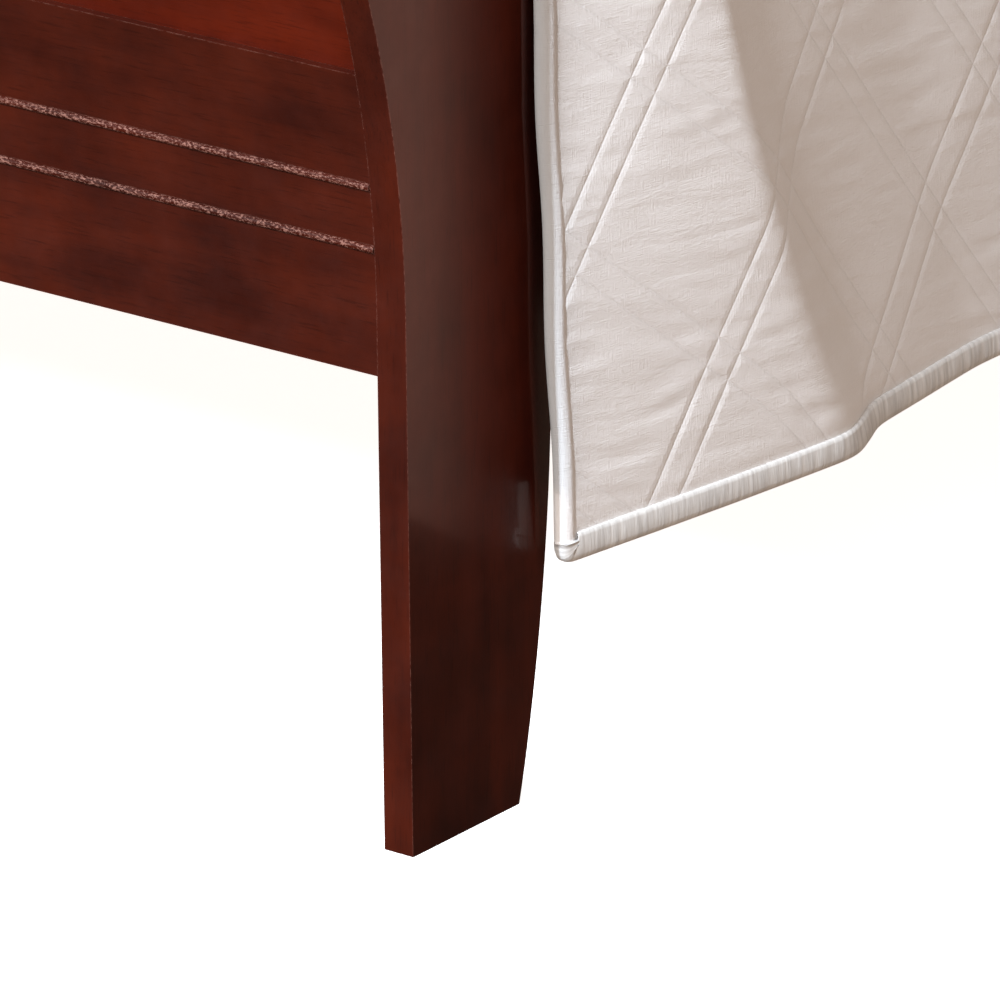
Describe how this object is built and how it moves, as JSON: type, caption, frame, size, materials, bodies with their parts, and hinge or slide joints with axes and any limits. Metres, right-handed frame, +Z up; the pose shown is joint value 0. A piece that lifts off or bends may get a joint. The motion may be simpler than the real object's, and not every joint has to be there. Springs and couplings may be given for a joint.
{
  "type": "sleigh bed",
  "caption": "Cherry-stained queen sleigh bed with curled slab posts, beaded end rails, slatted base, levelling centre legs, mattress and an ivory quilt with a satin edge.",
  "frame": {"origin": "on the floor at the middle of the outside box", "axes": "+X across the bed to the right seen from the foot end, +Y towards the headboard, +Z up"},
  "size_m": [1.641, 2.446, 1.22],
  "materials": {
    "cherry_stain": "satin lacquer over a dark cherry stain",
    "panel_veneer": "satin lacquer over brighter cherry veneer",
    "bare_pine": "planed, unfinished",
    "zinc_steel": "zinc plated",
    "zinc_screws": "zinc plated",
    "nylon_pad": "moulded",
    "ticking": "woven ticking",
    "quilt_cotton": "stitched cotton, ivory",
    "satin_binding": "satin, silver grey"
  },
  "bodies": {
    "bed_frame": {"headboard_post_left": "cherry_stain", "headboard_post_right": "cherry_stain", "headboard_bottom_rail": "cherry_stain", "headboard_beads": "cherry_stain", "headboard_panel": "panel_veneer", "headboard_top_roll": "cherry_stain", "headboard_dowels": "bare_pine", "footboard_post_left": "cherry_stain", "footboard_post_right": "cherry_stain", "footboard_bottom_rail": "cherry_stain", "footboard_beads": "cherry_stain", "footboard_panel": "panel_veneer", "footboard_top_roll": "cherry_stain", "footboard_dowels": "bare_pine", "side_rail_left": "cherry_stain", "side_rail_right": "cherry_stain", "slat_ledge_left": "bare_pine", "slat_ledge_right": "bare_pine", "ledge_screws": "zinc_screws", "rail_hook_foot_left": "zinc_steel", "rail_hook_foot_right": "zinc_steel", "rail_hook_head_left": "zinc_steel", "rail_hook_head_right": "zinc_steel", "strike_plates": "zinc_steel", "rail_hook_screws": "zinc_screws", "strike_plate_screws": "zinc_screws", "slat_01": "bare_pine", "slat_02": "bare_pine", "slat_03": "bare_pine", "slat_04": "bare_pine", "slat_05": "bare_pine", "slat_06": "bare_pine", "slat_07": "bare_pine", "slat_08": "bare_pine", "slat_09": "bare_pine", "slat_10": "bare_pine", "slat_11": "bare_pine", "slat_12": "bare_pine", "slat_13": "bare_pine", "slat_screws": "zinc_screws", "centre_rail": "bare_pine", "centre_bracket_foot": "zinc_steel", "centre_bracket_head": "zinc_steel", "bracket_screws": "zinc_screws", "centre_leg_foot": "bare_pine", "centre_leg_middle": "bare_pine", "centre_leg_head": "bare_pine", "leg_bolts": "zinc_steel", "leveller_inserts": "zinc_steel"},
    "bedding": {"mattress": "ticking", "quilt": "quilt_cotton", "quilt_binding": "satin_binding"},
    "leveller_pad_foot": {"leveller_pad_foot": "nylon_pad"},
    "leveller_stem_foot": {"leveller_stem_foot": "zinc_steel"},
    "leveller_pad_middle": {"leveller_pad_middle": "nylon_pad"},
    "leveller_stem_middle": {"leveller_stem_middle": "zinc_steel"},
    "leveller_pad_head": {"leveller_pad_head": "nylon_pad"},
    "leveller_stem_head": {"leveller_stem_head": "zinc_steel"}
  },
  "joints": [
    {"name": "bedding_lift", "type": "slide", "parent": "bed_frame", "child": "bedding", "axis": [0, 0, 1], "range_m": [0, 0.45]},
    {"name": "leveller_foot_travel", "type": "slide", "parent": "bed_frame", "child": "leveller_pad_foot", "axis": [0, 0, 1], "range_m": [-0.01, 0.01]},
    {"name": "leveller_foot_turn", "type": "hinge", "parent": "leveller_pad_foot", "child": "leveller_stem_foot", "pos_m": [0, -0.64, 0.02], "axis": [0, 0, 1], "range_deg": [-2880, 2880]},
    {"name": "leveller_middle_travel", "type": "slide", "parent": "bed_frame", "child": "leveller_pad_middle", "axis": [0, 0, 1], "range_m": [-0.01, 0.01]},
    {"name": "leveller_middle_turn", "type": "hinge", "parent": "leveller_pad_middle", "child": "leveller_stem_middle", "pos_m": [0, 0, 0.02], "axis": [0, 0, 1], "range_deg": [-2880, 2880]},
    {"name": "leveller_head_travel", "type": "slide", "parent": "bed_frame", "child": "leveller_pad_head", "axis": [0, 0, 1], "range_m": [-0.01, 0.01]},
    {"name": "leveller_head_turn", "type": "hinge", "parent": "leveller_pad_head", "child": "leveller_stem_head", "pos_m": [0, 0.64, 0.02], "axis": [0, 0, 1], "range_deg": [-2880, 2880]}
  ],
  "couplings": [
    {"joint": "leveller_foot_travel", "follows": "leveller_foot_turn", "m_per_rad": 0.00019894},
    {"joint": "leveller_middle_travel", "follows": "leveller_middle_turn", "m_per_rad": 0.00019894},
    {"joint": "leveller_head_travel", "follows": "leveller_head_turn", "m_per_rad": 0.00019894}
  ]
}
